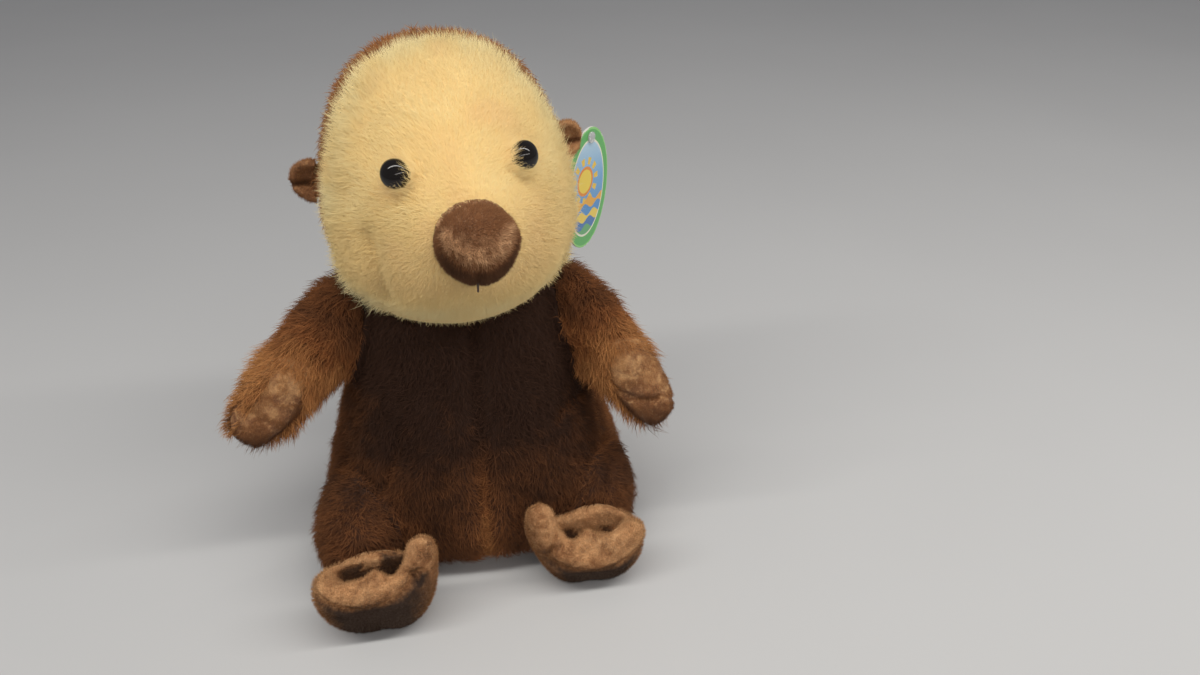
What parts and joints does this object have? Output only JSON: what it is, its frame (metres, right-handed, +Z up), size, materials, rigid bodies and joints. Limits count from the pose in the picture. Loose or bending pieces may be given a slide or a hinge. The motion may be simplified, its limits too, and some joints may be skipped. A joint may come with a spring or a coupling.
{
  "type": "plush toy otter",
  "caption": "Seated plush toy otter with a cream face, velour nose, ears, palms and cupped webbed feet, domed plastic eyes and a card swing tag on one ear.",
  "frame": {"origin": "middle of the flat of the seat, where the trunk rests on the floor", "axes": "+Z up, the toy faces -Y, +X towards the toy's own left hand side"},
  "size_m": [0.2432, 0.2866, 0.2969],
  "materials": {
    "face_pile": "cream long-pile plush",
    "brown_pile": "dark brown long-pile plush",
    "nose_velour": "brown short-pile velour",
    "ear_velour": "brown short-pile velour",
    "palm_velour": "brown short-pile velour",
    "foot_velour": "light brown short-pile velour",
    "eye_gloss": "polished black moulded plastic",
    "tag_card": "coated printed card",
    "tag_barb": "clear moulded plastic"
  },
  "bodies": {
    "root": {"face": "face_pile", "head_back": "brown_pile", "nose": "nose_velour", "eye_right": "eye_gloss", "ear_right": "ear_velour", "eye_left": "eye_gloss", "ear_left": "ear_velour", "trunk": "brown_pile", "leg_right": "brown_pile", "foot_right": "foot_velour", "arm_right": "brown_pile", "palm_right": "palm_velour", "leg_left": "brown_pile", "foot_left": "foot_velour", "arm_left": "brown_pile", "palm_left": "palm_velour", "tail": "brown_pile", "swing_tag": "tag_card", "tag_fastener": "tag_barb"}
  },
  "joints": []
}
